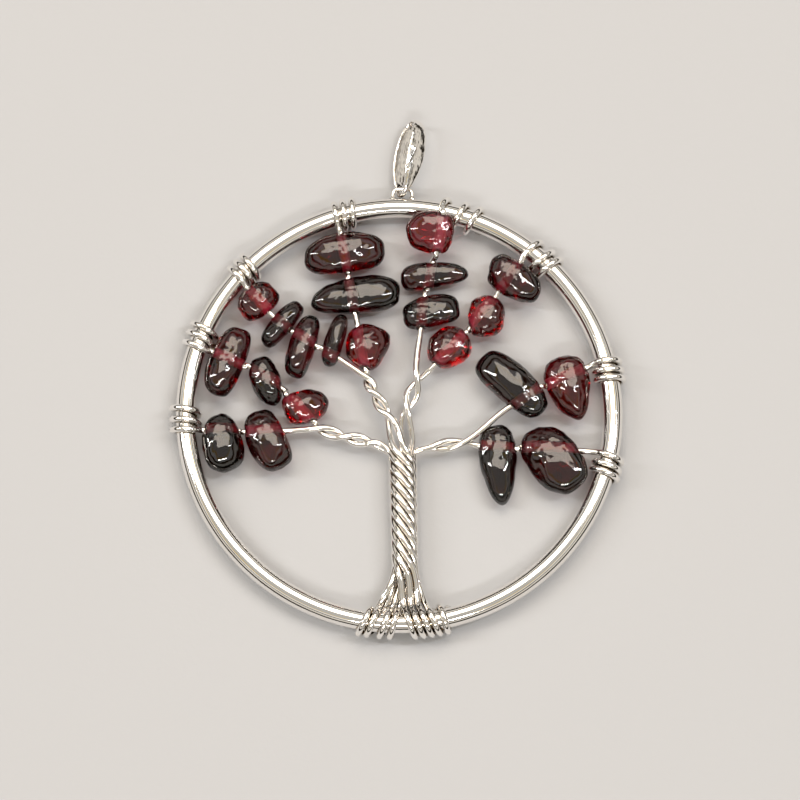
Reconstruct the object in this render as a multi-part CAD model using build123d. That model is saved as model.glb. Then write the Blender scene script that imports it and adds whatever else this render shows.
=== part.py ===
from build123d import *
import math
import os

import numpy as np

# Tree of life pendant, in mm, lying flat with its bail toward +Y and its face up (+Z).
# Every form is first laid out about the hoop's centre, in the plane of the hoop's rod, and is then
# moved so that the origin lies under the middle of the whole pendant, on the surface that it rests on.

# Hoop and eye
hoop_outer_d = 50.0
hoop_rod_d = 2.2
eye_wire_d = 0.45
eye_hole_w = 1.8
eye_x = 0.35
eye_bend_share = 0.6
solder_d = 0.8
solder_seat_share = 0.92

# Tree wires
tree_wire_d = 0.72
wire_gap = 0.05
strand_step = 0.36
strand_sag = 0.04
strand_span = 9
strand_stretch = 1.12
tube_sides = 5

# Easing of the wires off one another: rounds, share of each overlap taken per round, and how much
# of a push each point hands on to its neighbours
ease_rounds = 60
ease_push = 0.7
ease_spread = 0.5

# Stones, drilled with a hole wider than the wire
drill_gap = 0.19
mouth_run = 0.08
chip_sides = 12
chip_bands = (0.14, 0.28, 0.43, 0.57, 0.72, 0.86)

# Flats of a stone: wear of some, the room left between its length and width for blunt ends, the
# tilt of the worn bands beside its girdle, the lean of its face and back, and how sharply they meet
chip_wear = 0.12
chip_blunt = 0.17
chip_bevel = 42.0
chip_lean = 0.16
chip_softness = 7

# Bail, a closed loop of strip
bail_length = 8.95
bail_depth = 3.4
bail_strip_w = 2.2
bail_strip_t = 0.42
bail_bend_r = 0.8
bail_swing_gap = 0.14
bail_lean = 11.0
bail_twist = 32.0
bail_stations = 36

hoop_r = hoop_rod_d / 2
ring_r = hoop_outer_d / 2 - hoop_r
crown_r = ring_r - hoop_r
wire_r = tree_wire_d / 2
wire_pitch = tree_wire_d + wire_gap
coil_r = hoop_r + wire_r + wire_gap
eye_wire_r = eye_wire_d / 2
eye_y = ring_r + hoop_r + bail_bend_r + bail_strip_t / 2 + bail_swing_gap

# Trunk: strands laid in one left-hand rope, with its axis and the length of one turn as shares of
# the crown's radius. The phases are those of the strands at the trunk's top, seen from the foot,
# 0 toward +X and 90 toward the face.
trunk_top = (0.016, -0.215)
trunk_foot = (0.028, -0.785)
lay_top = 0.42
lay_foot = 0.55
trunk_phase = {
    "wire_left_low": 157.5,
    "wire_left_high": 202.5,
    "wire_upper_left": 67.5,
    "wire_top_left": 112.5,
    "wire_top": 247.5,
    "wire_upper_right": 292.5,
    "wire_right_high": 337.5,
    "wire_right_low": 22.5,
}
wire_names = list(trunk_phase)

# Branches: two strands each, crossing at the nodes, which run outward from the trunk, in shares of
# the crown's radius. The spread is the opening between the strands, in wire diameters, and the
# first strand named lies over the other at the first node.
branches = {
    "left": {
        "over": "wire_left_low",
        "under": "wire_left_high",
        "spread": 1.45,
        "nodes": [(-0.131, -0.152, 0.006), (-0.262, -0.122, 0.0), (-0.399, -0.080, 0.0)],
    },
    "upper_left": {
        "over": "wire_upper_left",
        "under": "wire_top_left",
        "spread": 1.45,
        "nodes": [(-0.055, -0.020, 0.022), (-0.122, 0.093, 0.010), (-0.157, 0.184, 0.0)],
    },
    "top": {
        "over": "wire_upper_right",
        "under": "wire_top",
        "spread": 1.75,
        "nodes": [(0.038, 0.025, -0.014), (0.088, 0.163, 0.0)],
    },
    "right": {
        "over": "wire_right_low",
        "under": "wire_right_high",
        "spread": 1.35,
        "nodes": [(0.160, -0.177, 0.012), (0.330, -0.144, 0.0)],
    },
}

# Foot: where each wire leaves the hoop for the trunk, turns round its outer edge and ends, in wire
# diameters to the right of the foot of the hoop. The left four go down behind the hoop and end on
# its face; the right four come down over its face and end behind, the last with one more turn. The
# angles are those at which a leg leaves the hoop's rod and a wire ends on it, short of its inner edge.
foot_columns = ("leg", "tip", "end", "more")
foot_rows = {
    "behind": [
        (-3.90, -6.10, -4.60, 0.0),
        (-2.65, -4.85, -3.35, 0.0),
        (-1.45, -3.00, -1.50, 0.0),
        (-0.25, -1.50, -0.20, 0.0),
    ],
    "before": [
        (0.95, 2.35, 3.25, 0.0),
        (2.15, 3.60, 4.50, 0.0),
        (3.40, 4.80, 5.70, 0.0),
        (4.65, 5.95, 7.95, 7.10),
    ],
}
foot_leg_angle = 38.0
foot_end_angle = 31.0

# Rim wraps: the place of the first crossing over the hoop's face, in degrees from +X, and the steps
# to the next two crossings, in wire diameters, all clockwise. The landing is where the wire meets the
# hoop's rod, in degrees round the rod: 90 is its face and 180 its inner edge.
rim_columns = ("start", "first_step", "second_step", "landing")
rim_rows = {
    "wire_left_low": (-174.8, 1.55, 1.75, 140),
    "wire_left_high": (161.9, 1.65, 1.45, 140),
    "wire_upper_left": (139.4, 1.35, 1.30, 128),
    "wire_top_left": (107.5, 1.30, 1.40, 140),
    "wire_top": (78.7, 3.15, 2.25, 95),
    "wire_upper_right": (51.8, 2.50, 1.60, 120),
    "wire_right_high": (14.0, 1.50, 1.30, 140),
    "wire_right_low": (-12.4, 1.50, 1.20, 140),
}
rim_last_angle = -840.0

# Stones, in the order in which each wire meets them on its way to the rim. All lengths are shares
# of the crown's radius: a point of the hole, the stone's middle, its length, width and thickness.
# The turn of its length from +X and the place of its first corner are in degrees, and the taper
# narrows its far end.
chip_columns = (
    "hole_x", "hole_y", "hole_z", "mid_x", "mid_y",
    "long", "wide", "thick", "turn", "taper", "corners", "spin",
)
chip_rows = {
    "wire_left_low": [
        (-0.649, -0.094, 0.004, -0.645, -0.141, 0.349, 0.214, 0.155, 113, 0.06, 8, 0),
        (-0.858, -0.092, 0.008, -0.864, -0.158, 0.310, 0.218, 0.155, 100, 0.05, 8, 12),
    ],
    "wire_left_high": [
        (-0.498, 0.034, 0.004, -0.462, 0.032, 0.246, 0.180, 0.150, 10, 0.10, 8, 10),
        (-0.652, 0.174, -0.002, -0.657, 0.164, 0.270, 0.151, 0.140, 108, 0.0, 7, 0),
        (-0.828, 0.262, 0.012, -0.844, 0.260, 0.405, 0.192, 0.150, 68, 0.06, 8, 0),
    ],
    "wire_upper_left": [
        (-0.334, 0.294, 0.010, -0.317, 0.367, 0.300, 0.109, 0.135, 74, 0.0, 8, 0),
        (-0.485, 0.383, 0.010, -0.478, 0.330, 0.365, 0.145, 0.150, 73, 0.05, 8, 0),
        (-0.590, 0.461, -0.002, -0.579, 0.452, 0.312, 0.118, 0.135, 50, 0.0, 8, 0),
        (-0.696, 0.567, 0.018, -0.698, 0.563, 0.232, 0.178, 0.150, 40, 0.0, 8, 0),
    ],
    "wire_top_left": [
        (-0.186, 0.340, 0.006, -0.155, 0.336, 0.239, 0.226, 0.150, 60, 0.0, 7, 15),
        (-0.234, 0.592, -0.004, -0.214, 0.595, 0.482, 0.203, 0.140, 8, -0.16, 8, 0),
        (-0.272, 0.807, 0.008, -0.270, 0.810, 0.441, 0.224, 0.155, 8, 0.0, 8, 0),
    ],
    "wire_top": [
        (0.116, 0.516, 0.004, 0.159, 0.512, 0.320, 0.180, 0.135, 12, 0.0, 8, 0),
        (0.151, 0.700, -0.018, 0.176, 0.704, 0.378, 0.144, 0.104, 6, 0.30, 8, 0),
        (0.199, 0.894, 0.062, 0.157, 0.907, 0.232, 0.262, 0.112, 80, 0.0, 8, 0),
    ],
    "wire_upper_right": [
        (0.268, 0.341, 0.004, 0.247, 0.332, 0.237, 0.204, 0.150, 30, 0.0, 7, 0),
        (0.408, 0.502, 0.004, 0.429, 0.486, 0.230, 0.199, 0.150, 80, 0.0, 8, 10),
        (0.547, 0.687, 0.028, 0.568, 0.671, 0.318, 0.198, 0.150, -36, 0.10, 8, 10),
    ],
    "wire_right_high": [
        (0.602, 0.066, 0.018, 0.557, 0.138, 0.454, 0.217, 0.155, -43, 0.14, 8, 0),
        (0.817, 0.176, 0.014, 0.836, 0.126, 0.351, 0.216, 0.155, 105, -0.25, 7, 0),
    ],
    "wire_right_low": [
        (0.487, -0.172, -0.010, 0.486, -0.254, 0.430, 0.184, 0.138, 94, -0.22, 7, 0),
        (0.726, -0.182, 0.004, 0.760, -0.246, 0.406, 0.267, 0.155, -52, 0.06, 7, 0),
    ],
}

# Bail: the strip's middle line from its bottom to its top fold, as shares of the bail's length,
# of half its depth and of the strip's width. The second leg is the first one's mirror image.
bail_columns = ("along", "out", "width")
bail_rows = [
    (0.000, 0.00, 0.22),
    (0.018, 0.34, 0.22),
    (0.070, 0.56, 0.25),
    (0.170, 0.78, 0.55),
    (0.330, 0.94, 0.86),
    (0.500, 1.00, 1.00),
    (0.700, 0.95, 0.96),
    (0.860, 0.78, 0.80),
    (0.955, 0.48, 0.60),
    (1.000, 0.00, 0.50),
]

# The strip's section: across its width, and outward through its thickness.
strip_section = [
    (-0.50, -0.15),
    (-0.43, -0.50),
    (0.43, -0.50),
    (0.50, -0.15),
    (0.32, 0.34),
    (0.00, 0.50),
    (-0.32, 0.34),
]


def unit(vector):
    return vector / np.linalg.norm(vector)


def named(columns, row):
    return dict(zip(columns, row))


def radial(angle):
    return np.array([math.cos(angle), math.sin(angle), 0.0])


def bridge(before, after):
    """Points of a smooth curve from the end of one run to the start of the next."""
    start, end = before[-1], after[0]
    leave = unit(before[-1] - before[-2])
    arrive = unit(after[1] - after[0])
    span = np.linalg.norm(end - start)
    count = max(2, int(round(span / strand_step)))
    points = []
    for t in np.arange(1, count) / count:
        keep = 2 * t**3 - 3 * t**2 + 1
        points.append(
            keep * start
            + (1 - keep) * end
            + span * (t**3 - 2 * t**2 + t) * leave
            + span * (t**3 - t**2) * arrive
        )
    return np.array(points).reshape(-1, 3)


def coil(turn_angles, places):
    """A run round the hoop's rod. Turn angles: 0 outer edge, 90 face, 180 inner edge; both in degrees."""
    low, high = turn_angles[0], turn_angles[-1]
    count = int(math.ceil(abs(math.radians(high - low)) * coil_r / strand_step))
    points = []
    for share in np.linspace(0, 1, count + 1):
        psi = low + share * (high - low)
        order = np.argsort(turn_angles)
        beta = math.radians(np.interp(psi, np.array(turn_angles)[order], np.array(places)[order]))
        out = ring_r + coil_r * math.cos(math.radians(psi))
        points.append(out * radial(beta) + [0, 0, coil_r * math.sin(math.radians(psi))])
    return np.array(points)


def rim_run(wire):
    """The wrap on the rim: landing on the hoop's face, then clockwise along it."""
    row = named(rim_columns, rim_rows[wire])
    step = math.degrees(tree_wire_d / ring_r)
    first = row["start"]
    second = first - row["first_step"] * step
    third = second - row["second_step"] * step
    landing = row["landing"]
    slope = row["second_step"] * step / 360
    angles = [landing, 90.0, -270.0, -630.0, rim_last_angle]
    places = [
        first + row["first_step"] * step * (landing - 90) / 360,
        first,
        second,
        third,
        third - slope * (-630.0 - rim_last_angle),
    ]
    return coil(angles, places)


def foot_run(side, row):
    """The hook at the foot, from its hidden end to where the leg leaves the hoop."""
    row = named(foot_columns, row)
    step = math.degrees(tree_wire_d / ring_r)
    if side == "behind":
        angles = [180 + foot_leg_angle, 360.0, 540.0 - foot_end_angle]
        along = [row["leg"], row["tip"], row["end"]]
    elif row["more"]:
        angles = [180 - foot_leg_angle, 0.0, -360.0, -540.0 + foot_end_angle]
        along = [row["leg"], row["tip"], row["more"], row["end"]]
    else:
        angles = [180 - foot_leg_angle, 0.0, -180.0 + foot_end_angle]
        along = [row["leg"], row["tip"], row["end"]]
    places = [-90 + x * step for x in along]
    return coil(angles[::-1], places[::-1])


def strand_radius(lay):
    """Pitch radius at which strands of this lay touch their neighbours, with the gap between them."""
    count = len(trunk_phase)
    spread = 2 * math.sin(math.pi / count)
    return wire_pitch * lay / math.sqrt((spread * lay) ** 2 - (2 * math.pi * wire_pitch) ** 2)


def trunk_run(wire):
    """One strand of the trunk, from its foot to its top."""
    top, foot = np.array(trunk_top) * crown_r, np.array(trunk_foot) * crown_r
    count = int(round((top[1] - foot[1]) * strand_stretch / strand_step))
    phase = math.radians(trunk_phase[wire])
    points = []
    for share in np.linspace(0, 1, count + 1):
        middle = top + share * (foot - top)
        lay = (lay_top + share * (lay_foot - lay_top)) * crown_r
        points.append([middle[0], middle[1], 0.0] + strand_radius(lay) * turned(phase))
        phase -= 2 * math.pi * (top[1] - foot[1]) / count / lay
    return np.array(points)[::-1]


def turned(phase):
    return np.array([math.cos(phase), 0.0, math.sin(phase)])


def rounded(points, share):
    """A point and its direction on a smooth curve through points; the share counts from one to the next."""
    last = len(points) - 1
    index = min(int(share), last - 1)
    t = share - index
    before = points[index - 1] if index else 2 * points[0] - points[1]
    after = points[index + 2] if index + 2 <= last else 2 * points[last] - points[last - 1]
    a, b = points[index], points[index + 1]
    da, db = (b - before) / 2, (after - a) / 2
    place = (
        (2 * t**3 - 3 * t**2 + 1) * a
        + (t**3 - 2 * t**2 + t) * da
        + (3 * t**2 - 2 * t**3) * b
        + (t**3 - t**2) * db
    )
    slope = (6 * t**2 - 6 * t) * (a - b) + (3 * t**2 - 4 * t + 1) * da + (3 * t**2 - 2 * t) * db
    return place, unit(slope)


def branch_run(branch, first):
    """One strand of a branch, from the node nearest the trunk to the last one."""
    nodes = np.array(branch["nodes"]) * crown_r
    length = sum(np.linalg.norm(b - a) for a, b in zip(nodes, nodes[1:]))
    count = int(round(length * strand_stretch / strand_step))
    wide = branch["spread"] * tree_wire_d / 2
    deep = wire_pitch / 2
    points = []
    for share in np.linspace(0, len(nodes) - 1, count + 1):
        middle, along = rounded(nodes, share)
        across = unit(np.array([-along[1], along[0], 0.0]))
        phase = math.radians((90 if first else -90) - 180 * share)
        points.append(middle + wide * math.cos(phase) * across + [0, 0, deep * math.sin(phase)])
    return np.array(points)


def stones_of(wire):
    """The stones of one wire, each drilled along the wire's own line from stone to stone."""
    nodes = [b["nodes"] for b in branches.values() if wire in (b["over"], b["under"])][0]
    rows = [named(chip_columns, row) for row in chip_rows[wire]]
    line = [nodes[-1]] + [(row["hole_x"], row["hole_y"], row["hole_z"]) for row in rows]
    landing = ring_r * radial(math.radians(rim_rows[wire][0])) + [0, 0, coil_r]
    line = np.vstack([np.array(line) * crown_r, landing])
    return [stone_form(row, line[i + 1], unit(line[i + 2] - line[i])) for i, row in enumerate(rows)]


def mouth_rim(stone):
    """Points round a stone's hole, level with its middle, at the radius of the drill."""
    side = unit(np.cross(stone["hole"], [0, 0, 1.0]))
    other = np.cross(stone["hole"], side)
    angles = [2 * math.pi * i / chip_sides for i in range(chip_sides)]
    outward = [math.cos(angle) * side + math.sin(angle) * other for angle in angles]
    return [(stone["level"] + (wire_r + drill_gap) * out, out) for out in outward]


def hole_run(stone):
    """The straight stretch through one stone and just past its mouths, from the tree's side on."""
    level, hole = stone["level"], stone["hole"]
    rim = [point for point, _ in mouth_rim(stone)]
    start = level - (max(surface_along(point, -hole, stone) for point in rim) + mouth_run) * hole
    end = level + (max(surface_along(point, hole, stone) for point in rim) + mouth_run) * hole
    count = max(3, int(round(np.linalg.norm(end - start) / strand_step)))
    return start + np.outer(np.linspace(0, 1, count + 1), end - start)


def foot_places():
    """Which hook each wire takes: the four strands in front of the trunk's foot come over the hoop."""
    ends = {wire: trunk_run(wire)[0] for wire in wire_names}
    order = sorted(wire_names, key=lambda wire: ends[wire][2])
    half = len(order) // 2
    places = {}
    for side, group in (("behind", order[:half]), ("before", order[half:])):
        group = sorted(group, key=lambda wire: ends[wire][0])
        for wire, row in zip(group, foot_rows[side]):
            places[wire] = foot_run(side, row)
    return places


def first_paths():
    """The centreline of every wire before it is eased off its neighbours, and which points are held."""
    feet = foot_places()
    strand_of = {}
    for branch in branches.values():
        strand_of[branch["over"]] = branch_run(branch, True)
        strand_of[branch["under"]] = branch_run(branch, False)
    paths = {}
    for wire in wire_names:
        holes = [hole_run(stone) for stone in stones_of(wire)]
        runs = [feet[wire], trunk_run(wire), strand_of[wire], *holes, rim_run(wire)]
        held_runs = [False] * 3 + [True] * len(holes) + [False]
        points, held = [runs[0]], [np.zeros(len(runs[0]), bool)]
        for before, after, fixed in zip(runs, runs[1:], held_runs[1:]):
            link = bridge(before, after)
            points += [link, after]
            held += [np.zeros(len(link), bool), np.full(len(after), fixed)]
        paths[wire] = (np.vstack(points), np.concatenate(held))
    return paths


def eased_paths():
    """Wires pushed apart to their gap, and off the hoop's rod, with each push spread along the wire."""
    paths = first_paths()
    points = np.vstack([paths[wire][0] for wire in wire_names])
    held = np.concatenate([paths[wire][1] for wire in wire_names])
    owner = np.concatenate([np.full(len(paths[wire][0]), i) for i, wire in enumerate(wire_names)])
    place = np.concatenate([np.arange(len(paths[wire][0])) for wire in wire_names])
    inner = np.flatnonzero((owner[1:-1] == owner[:-2]) & (owner[1:-1] == owner[2:])) + 1
    inner = inner[~held[inner]]
    first = points.copy()
    square = (points**2).sum(axis=1)
    reach = (wire_pitch * 2.5) ** 2
    near = square[:, None] + square[None, :] - 2 * points @ points.T < reach
    apart = (owner[:, None] != owner[None, :]) | (abs(place[:, None] - place[None, :]) > 6)
    left, right = np.nonzero(np.triu(near & apart, 1))
    for _ in range(ease_rounds):
        step = points[left] - points[right]
        gap = np.linalg.norm(step, axis=1)
        close = gap < wire_pitch
        push = step[close] * ((wire_pitch - gap[close]) / np.maximum(gap[close], 1e-6) / 2)[:, None]
        moved = np.zeros_like(points)
        np.add.at(moved, left[close], push)
        np.add.at(moved, right[close], -push)
        moved[held] = 0
        points = points + moved * ease_push
        shift = points - first
        shift[inner] += ease_spread * ((shift[inner - 1] + shift[inner + 1]) / 2 - shift[inner])
        points = first + shift
        points = off_hoop(points, held)
    cuts = np.cumsum([len(paths[wire][0]) for wire in wire_names])[:-1]
    return dict(zip(wire_names, np.split(points, cuts)))


def off_hoop(points, held):
    """Points closer to the hoop's rod than a wire can lie are moved out to touch it."""
    flat = np.linalg.norm(points[:, :2], axis=1)
    centre = np.column_stack([points[:, :2] / flat[:, None] * ring_r, np.zeros(len(points))])
    step = points - centre
    gap = np.linalg.norm(step, axis=1)
    inside = (gap < coil_r) & ~held
    points = points.copy()
    points[inside] = centre[inside] + step[inside] * (coil_r / gap[inside])[:, None]
    return points


def thinned(path):
    """The fewest of a path's points whose straight runs stay within the sag of it."""
    kept = [0]
    while kept[-1] < len(path) - 1:
        start = kept[-1]
        end = start + 1
        while end + 1 < len(path) and end + 1 - start <= strand_span:
            chord = unit(path[end + 1] - path[start])
            offset = path[start + 1 : end + 1] - path[start]
            sag = np.linalg.norm(offset - np.outer(offset @ chord, chord), axis=1).max()
            if sag > strand_sag:
                break
            end += 1
        kept.append(end)
    return path[kept]


def tube_mesh(path, radius):
    """A round tube of few flat sides along a path, closed at both ends."""
    along = [unit(b - a) for a, b in zip(path, path[1:])]
    facing = [along[0]] + [unit(a + b) for a, b in zip(along, along[1:])] + [along[-1]]
    side = unit(np.cross(facing[0], [0.3, 0.2, 1.0]))
    rings = []
    for point, face in zip(path, facing):
        side = unit(side - face * (side @ face))
        other = np.cross(face, side)
        for i in range(tube_sides):
            angle = 2 * math.pi * i / tube_sides
            rings.append(point + radius * (math.cos(angle) * side + math.sin(angle) * other))
    triangles = band_triangles(len(path), tube_sides, False)
    last = (len(path) - 1) * tube_sides
    for i in range(1, tube_sides - 1):
        triangles.append((0, i + 1, i))
        triangles.append((last, last + i, last + i + 1))
    return np.array(rings), triangles


def band_triangles(rings, around, closed):
    """Triangles between successive rings of points, and from the last ring to the first if closed."""
    triangles = []
    for ring in range(rings if closed else rings - 1):
        low = ring * around
        high = (ring + 1) % rings * around
        for i in range(around):
            j = (i + 1) % around
            triangles.append((low + i, low + j, high + i))
            triangles.append((low + j, high + j, high + i))
    return triangles


def stone_form(row, level, hole):
    """A stone's middle, axes and half sizes, its flats, and its hole: a point of it and its direction."""
    up = unit(np.array([0, 0, 1.0]) - hole * hole[2])
    long_axis = radial(math.radians(row["turn"]))
    long_axis = unit(long_axis - up * (long_axis @ up))
    flat = np.array([row["mid_x"], row["mid_y"]]) * crown_r - level[:2]
    rise = -(flat @ up[:2]) / up[2]
    return {
        "middle": level + [flat[0], flat[1], rise],
        "axes": np.array([long_axis, np.cross(up, long_axis), up]),
        "half": np.array([row["long"], row["wide"], row["thick"]]) * crown_r / 2,
        "taper": row["taper"],
        "faces": chip_faces(row["corners"], row["spin"]),
        "level": level,
        "hole": hole,
    }


def chip_faces(corners, spin):
    """Flats of a tumbled stone: its girdle, a worn band above and below, and its face and back."""
    faces = []
    bevel = math.radians(chip_bevel)
    for i in range(corners):
        around = math.radians(spin + 360 * i / corners)
        worn = 1.0 - chip_wear * (0.5 + 0.5 * math.sin(2.4 * i + spin))
        worn += chip_blunt * math.sin(2 * around) ** 2
        faces.append((math.cos(around), math.sin(around), 0.0, worn))
        for rise in (bevel, -bevel):
            turned_by = around + math.copysign(math.pi / corners / 2, rise)
            flat = math.cos(rise)
            room = 1.0 + chip_blunt * math.sin(2 * turned_by) ** 2
            faces.append((flat * math.cos(turned_by), flat * math.sin(turned_by), math.sin(rise), room))
    faces.append((chip_lean, 0.5 * chip_lean, 1.0, 1.0))
    faces.append((-chip_lean, 0.5 * chip_lean, -1.0, 1.0))
    return np.array(faces)


def chip_depth(point, stone):
    """Below 0 inside the stone, 0 on its surface."""
    x, y, z = stone["axes"] @ (point - stone["middle"]) / stone["half"]
    narrow = 1 - stone["taper"] * max(-1.0, min(1.0, x))
    faces = stone["faces"]
    reach = faces[:, :3] @ np.array([x, y / narrow, z / (0.5 + 0.5 * narrow)]) / faces[:, 3]
    return (np.maximum(reach, 0) ** chip_softness).sum() ** (1 / chip_softness) - 1


def surface_along(start, direction, stone):
    """Distance from a point inside a stone to its surface."""
    near, far = 0.0, crown_r
    for _ in range(30):
        middle = (near + far) / 2
        if chip_depth(start + middle * direction, stone) < 0:
            near = middle
        else:
            far = middle
    return near


def chip_mesh(stone):
    """A drilled stone: rings from mouth to mouth round the hole's axis, and back through the hole."""
    level, hole = stone["level"], stone["hole"]
    drill_r = wire_r + drill_gap
    columns = []
    for rim, out in mouth_rim(stone):
        back = surface_along(rim, -hole, stone)
        front = surface_along(rim, hole, stone)
        column = [rim - back * hole]
        low, high = math.atan2(drill_r, -back), math.atan2(drill_r, front)
        for share in chip_bands:
            polar = low + share * (high - low)
            ray = math.cos(polar) * hole + math.sin(polar) * out
            column.append(level + surface_along(level, ray, stone) * ray)
        column.append(rim + front * hole)
        columns.append(column)
    points = [columns[i][ring] for ring in range(len(columns[0])) for i in range(chip_sides)]
    triangles = band_triangles(len(columns[0]), chip_sides, True)
    return np.array(points), triangles



def bail_turn():
    """Columns: the bail's width, length and depth directions, leaned and twisted in the eye."""
    lean, twist = math.radians(-bail_lean), math.radians(bail_twist)
    length = np.array([-math.sin(lean), math.cos(lean), 0.0])
    flat = np.array([math.cos(lean), math.sin(lean), 0.0])
    depth = math.cos(twist) * np.array([0, 0, 1.0]) + math.sin(twist) * flat
    return np.column_stack([np.cross(length, depth), length, depth])


def bail_mesh():
    """The closed strip loop, its bottom bend round the eye's far limb."""
    rows = [named(bail_columns, row) for row in bail_rows]
    half = bail_depth / 2 - bail_strip_t / 2
    leg = [np.array([r["width"] * bail_strip_w, r["along"] * bail_length, r["out"] * half]) for r in rows]
    back = [p * [1, 1, -1] for p in leg[-2:0:-1]]
    loop = leg + back
    loop = loop + loop[:3]
    turn = bail_turn()
    points = []
    spacing = len(leg + back) / bail_stations
    for station in range(bail_stations):
        place, along = rounded(loop, 1 + station * spacing)
        width = place[0]
        along = unit(along * [0, 1, 1])
        out = np.array([0.0, along[2], -along[1]])
        if out @ (place - [0, bail_length / 2, 0]) < 0:
            out = -out
        centre = np.array([0.0, place[1] - bail_bend_r, place[2]])
        for across, proud in strip_section:
            local = centre + [across * width, 0, 0] + proud * bail_strip_t * out
            points.append(turn @ local + [eye_x, eye_y, 0])
    return np.array(points), band_triangles(bail_stations, len(strip_section), True)


def solid_of(points, triangles):
    """A closed solid from flat triangles."""
    corners = [Vector(*map(float, point)) for point in points]
    faces = [Face(Wire.make_polygon([corners[i] for i in triangle])) for triangle in triangles]
    solid = Solid(Shell(faces))
    if solid.volume < 0:
        solid = Solid(Shell([-face for face in faces]))
    return solid


def hoop_solid():
    """The round hoop, with the eye's staple soldered on its top."""
    hoop = Solid.make_torus(ring_r, hoop_r)
    half = eye_hole_w / 2 + eye_wire_r
    bend = half * eye_bend_share
    foot = ring_r + hoop_r / 2
    left, right = eye_x - half, eye_x + half
    staple = FilletPolyline(
        (left, foot, 0), (left, eye_y, 0), (right, eye_y, 0), (right, foot, 0), radius=bend
    )
    section = Plane(origin=staple @ 0, z_dir=staple % 0) * Circle(eye_wire_r)
    eye = sweep(section, path=staple)
    bead = Rot(90, 40, 0) * Sphere(solder_d / 2)
    solder = [Pos(x, ring_r + hoop_r * solder_seat_share, 0) * bead for x in (left, right)]
    return hoop + eye + solder[0] + solder[1]


def main():
    os.makedirs("parts", exist_ok=True)
    meshes = {}
    for wire, path in eased_paths().items():
        meshes[wire] = tube_mesh(thinned(path), wire_r)
    number = 1
    for wire in wire_names:
        for stone in stones_of(wire):
            meshes[f"chip_{number}"] = chip_mesh(stone)
            number += 1
    meshes["bail"] = bail_mesh()

    hoop = hoop_solid()
    box = hoop.bounding_box()
    corners = np.vstack([points for points, _ in meshes.values()] + [[[*box.min], [*box.max]]])
    low, high = corners.min(axis=0), corners.max(axis=0)
    move = Pos(-(low[0] + high[0]) / 2, -(low[1] + high[1]) / 2, -low[2])

    print("size", (high - low).round(3), "hoop centre", move.position)
    print("triangles", sum(len(triangles) for _, triangles in meshes.values()))
    export_step(move * hoop, "parts/hoop.step")
    for name, (points, triangles) in meshes.items():
        export_step(move * solid_of(points, triangles), f"parts/{name}.step")


main()
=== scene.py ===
# Tree of life pendant, lying face up on a pale table: a bright wire tree strung with dark red
# stone chips inside a round hoop, with a strip bail hanging in the eye at its top.

import math

import bpy
import numpy as np
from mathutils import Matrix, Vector, noise


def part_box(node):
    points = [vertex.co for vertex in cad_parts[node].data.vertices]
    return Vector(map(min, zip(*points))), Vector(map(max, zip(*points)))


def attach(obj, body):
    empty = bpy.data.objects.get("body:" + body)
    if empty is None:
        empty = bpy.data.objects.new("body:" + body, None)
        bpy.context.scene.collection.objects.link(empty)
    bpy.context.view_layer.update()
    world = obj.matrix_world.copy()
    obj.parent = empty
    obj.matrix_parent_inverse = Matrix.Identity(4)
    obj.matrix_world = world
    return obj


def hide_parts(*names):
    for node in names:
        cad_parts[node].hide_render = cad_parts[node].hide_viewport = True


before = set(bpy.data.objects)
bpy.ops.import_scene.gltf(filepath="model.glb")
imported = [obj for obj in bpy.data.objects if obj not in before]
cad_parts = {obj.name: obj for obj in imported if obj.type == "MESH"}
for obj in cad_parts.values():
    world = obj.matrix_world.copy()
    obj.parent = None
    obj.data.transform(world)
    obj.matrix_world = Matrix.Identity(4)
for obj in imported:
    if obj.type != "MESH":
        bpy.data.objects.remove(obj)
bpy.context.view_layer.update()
mm = 0.001
print("frame loaded,", len(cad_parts), "nodes")

# Everything is laid out about the middle of the hoop, in the plane of its rod, and each mesh is
# moved to the hoop of the frame when it is made.
hoop = {
    "outerWidth": 50.0 * mm,
    "rodWidth": 2.2 * mm,
    "eyeWire": 0.45 * mm,
    "eyeHole": 1.8 * mm,
    "eyeX": 0.35 * mm,
    "eyeCorner": 0.6,
    "eyeLegSteps": 12,
    "eyeCornerSteps": 10,
    "eyeSides": 20,
    "solderWidth": 0.8 * mm,
    "solderAt": 0.92,
    "solderRings": 18,
    "solderAround": 28,
    "solderLumps": 0.10,
    "solderLumpScale": 1.7,
    "stepsRound": 540,
    "sides": 40,
    "waviness": 0.012 * mm,
    "waveScale": 3,
    "waveSeed": 0.4,
}
hoopR = hoop["rodWidth"] / 2
ringR = hoop["outerWidth"] / 2 - hoopR
crownR = ringR - hoopR
eyeHalf = hoop["eyeHole"] / 2 + hoop["eyeWire"] / 2
hoopLow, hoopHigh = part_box("hoop")
hoopCentre = np.array([
    (hoopLow.x + hoopHigh.x) / 2,
    hoopLow.y + hoop["outerWidth"] / 2,
    (hoopLow.z + hoopHigh.z) / 2,
])


def unit(vector):
    return vector / np.linalg.norm(vector)


def radial(angle):
    return np.array([math.cos(angle), math.sin(angle), 0.0])


def turned(phase):
    return np.array([math.cos(phase), 0.0, math.sin(phase)])


def rowOf(columns, row):
    return dict(zip(columns, row))


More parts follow.
